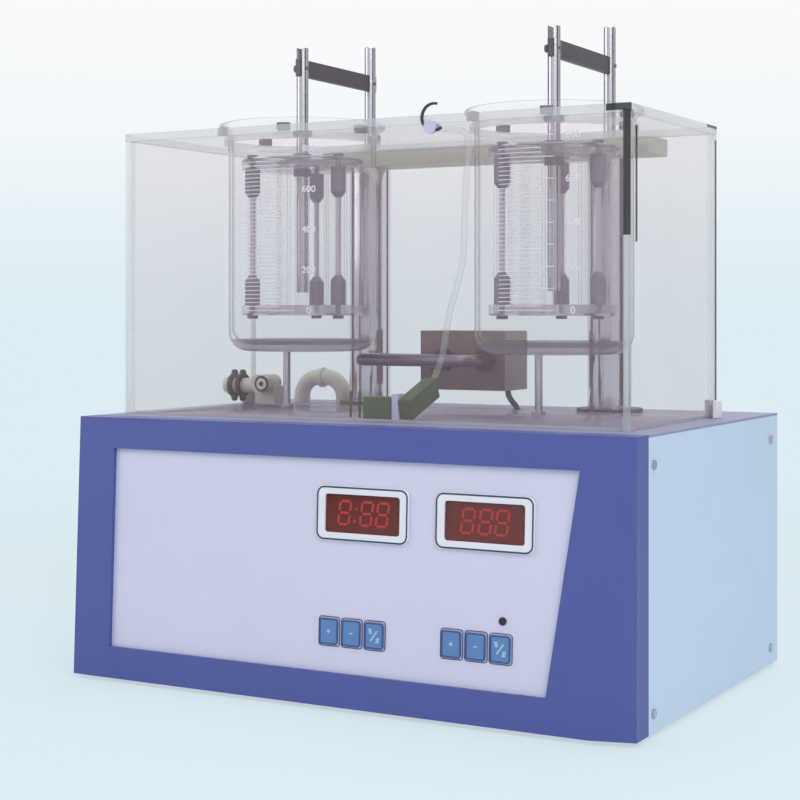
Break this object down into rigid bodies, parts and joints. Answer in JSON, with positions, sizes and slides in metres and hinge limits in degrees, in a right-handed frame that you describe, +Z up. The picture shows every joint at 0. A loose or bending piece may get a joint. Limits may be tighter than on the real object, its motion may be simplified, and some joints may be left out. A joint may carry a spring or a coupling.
{
  "type": "tablet disintegration tester",
  "caption": "Bench tester with glass beakers in a clear water bath; rods raise and lower tube baskets above a case with displays and keys.",
  "frame": {"origin": "middle of the footprint, at the bottom of the rubber feet", "axes": "+Z up, the panel faces -Y, +X to the right of someone facing the panel"},
  "size_m": [0.4228, 0.2906, 0.4693],
  "materials": {
    "sheet_blue": "satin",
    "bezel_blue": "satin",
    "deck_blue": "satin",
    "tray_steel": "satin",
    "panel_white": "satin",
    "frame_chrome": "polished",
    "window_red": "gloss",
    "board": "matt",
    "key_blue": "satin",
    "led_black": "gloss",
    "core_iron": "matt",
    "pump_plastic": "matt",
    "motor_alu": "satin",
    "rod_steel": "brushed",
    "yoke_alu": "satin",
    "roller_plastic": "satin",
    "bush_brass": "satin",
    "column_chrome": "polished",
    "black_plastic": "matt",
    "pale_green": "satin",
    "arm_dark": "satin",
    "clear_plate": "gloss",
    "glass": "clear",
    "post_grey": "satin",
    "acrylic": "clear",
    "block_white": "gloss",
    "box_olive": "satin",
    "cable_black": "matt",
    "clamp_olive": "satin",
    "hose_clear": "clear",
    "stone_green": "matt",
    "rocker_red": "gloss",
    "foot_rubber": "matt"
  },
  "bodies": {
    "chassis": {"base_tray": "tray_steel", "case_wrap": "sheet_blue", "deck_plate": "deck_blue", "front_bezel": "bezel_blue", "control_panel": "panel_white", "display_frames": "frame_chrome", "display_windows": "window_red", "display_board": "board", "indicator_led": "led_black", "control_board": "board", "transformer": "core_iron", "air_pump": "pump_plastic", "gear_motor": "motor_alu", "motor_bracket": "tray_steel", "guide_bushes": "bush_brass", "column_left": "column_chrome", "column_right": "column_chrome", "column_flanges": "black_plastic", "tie_beam": "pale_green", "beaker_left": "glass", "beaker_right": "glass", "beaker_lugs": "post_grey", "tank": "acrylic", "tank_cover": "acrylic", "corner_blocks": "block_white", "beaker_posts": "rod_steel", "heater_tube": "rod_steel", "heater_nuts": "black_plastic", "junction_box": "box_olive", "junction_lid": "pale_green", "heater_cable": "cable_black", "drain_valve": "pale_green", "drain_clamp": "clamp_olive", "return_pipe": "pale_green", "air_hose": "hose_clear", "hose_clips": "clear_plate", "air_stone": "stone_green", "rear_fittings": "black_plastic", "feet_and_screws": "foot_rubber"},
    "carriage": {"lift_yoke": "yoke_alu", "lifting_rods": "rod_steel", "lift_arms": "arm_dark", "carriage_fasteners": "rod_steel", "hanger_rods": "rod_steel", "top_discs": "rod_steel", "upper_plates": "clear_plate", "lower_plates": "clear_plate", "tubes_left": "glass", "tubes_right": "glass", "tie_posts": "post_grey", "mesh_screens": "rod_steel"},
    "crank": {"crank_disc": "rod_steel", "crank_roller": "roller_plastic"},
    "rocker": {"rocker_switch": "rocker_red"},
    "key_time_up_cap": {"key_time_up": "key_blue"},
    "key_time_down_cap": {"key_time_down": "key_blue"},
    "key_time_run_cap": {"key_time_run": "key_blue"},
    "key_temp_up_cap": {"key_temp_up": "key_blue"},
    "key_temp_down_cap": {"key_temp_down": "key_blue"},
    "key_temp_run_cap": {"key_temp_run": "key_blue"}
  },
  "joints": [
    {"name": "lift", "type": "slide", "parent": "chassis", "child": "carriage", "axis": [0, 0, 1], "range_m": [0, 0.055]},
    {"name": "crank_turn", "type": "hinge", "parent": "chassis", "child": "crank", "pos_m": [-0.005, 0.0818, 0.0995], "axis": [0, 1, 0], "range_deg": [0, 180]},
    {"name": "rocker_tilt", "type": "hinge", "parent": "chassis", "child": "rocker", "pos_m": [-0.105, 0.1383, 0.045], "axis": [1, 0, 0], "range_deg": [-20, 0]},
    {"name": "key_time_up_press", "type": "slide", "parent": "chassis", "child": "key_time_up_cap", "axis": [0, 0.9991, -0.042], "range_m": [0, 0.001], "stiffness_N_per_m": 600, "springref_m": -0.0004},
    {"name": "key_time_down_press", "type": "slide", "parent": "chassis", "child": "key_time_down_cap", "axis": [0, 0.9991, -0.042], "range_m": [0, 0.001], "stiffness_N_per_m": 600, "springref_m": -0.0004},
    {"name": "key_time_run_press", "type": "slide", "parent": "chassis", "child": "key_time_run_cap", "axis": [0, 0.9991, -0.042], "range_m": [0, 0.001], "stiffness_N_per_m": 600, "springref_m": -0.0004},
    {"name": "key_temp_up_press", "type": "slide", "parent": "chassis", "child": "key_temp_up_cap", "axis": [0, 0.9991, -0.042], "range_m": [0, 0.001], "stiffness_N_per_m": 600, "springref_m": -0.0004},
    {"name": "key_temp_down_press", "type": "slide", "parent": "chassis", "child": "key_temp_down_cap", "axis": [0, 0.9991, -0.042], "range_m": [0, 0.001], "stiffness_N_per_m": 600, "springref_m": -0.0004},
    {"name": "key_temp_run_press", "type": "slide", "parent": "chassis", "child": "key_temp_run_cap", "axis": [0, 0.9991, -0.042], "range_m": [0, 0.001], "stiffness_N_per_m": 600, "springref_m": -0.0004}
  ],
  "couplings": [
    {"joint": "crank_turn", "follows": "lift", "rad_per_m": 57.11}
  ]
}
